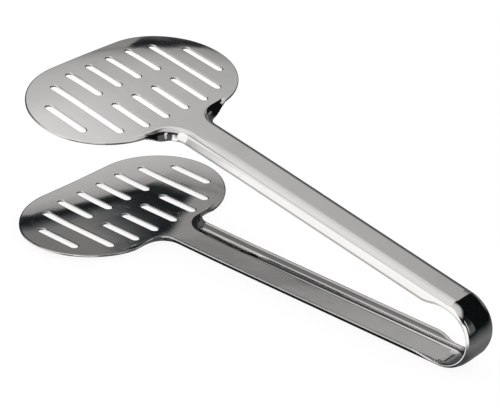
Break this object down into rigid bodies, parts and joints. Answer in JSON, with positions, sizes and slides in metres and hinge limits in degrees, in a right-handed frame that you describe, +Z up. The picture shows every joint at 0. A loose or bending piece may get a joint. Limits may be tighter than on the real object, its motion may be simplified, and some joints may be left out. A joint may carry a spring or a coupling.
{
  "type": "burger tongs",
  "caption": "Stainless tongs with wide slotted heads on channel arms, joined by a spring bow that opens them again after each squeeze.",
  "frame": {"origin": "middle of the underside: halfway between the lower tip and the crown of the bow, midway across, on the plane that the lower arm rests on", "axes": "+X from the heads to the spring bow, +Y across the heads, +Z up from the lower half to the upper half"},
  "size_m": [0.2308, 0.1112, 0.0702],
  "materials": {
    "polished_steel": "polished stainless steel"
  },
  "bodies": {
    "lower_half": {"lower_head": "polished_steel", "lower_arm": "polished_steel", "spring_bow": "polished_steel"},
    "upper_half": {"upper_arm": "polished_steel", "upper_head": "polished_steel"}
  },
  "joints": [
    {"name": "squeeze", "type": "hinge", "parent": "lower_half", "child": "upper_half", "pos_m": [0.11001, 0, 0.01444], "axis": [0, -1, 0], "range_deg": [-3, 16.7], "stiffness_Nm_per_rad": 4, "springref_deg": -1.72, "deforming": ["spring_bow"]}
  ]
}
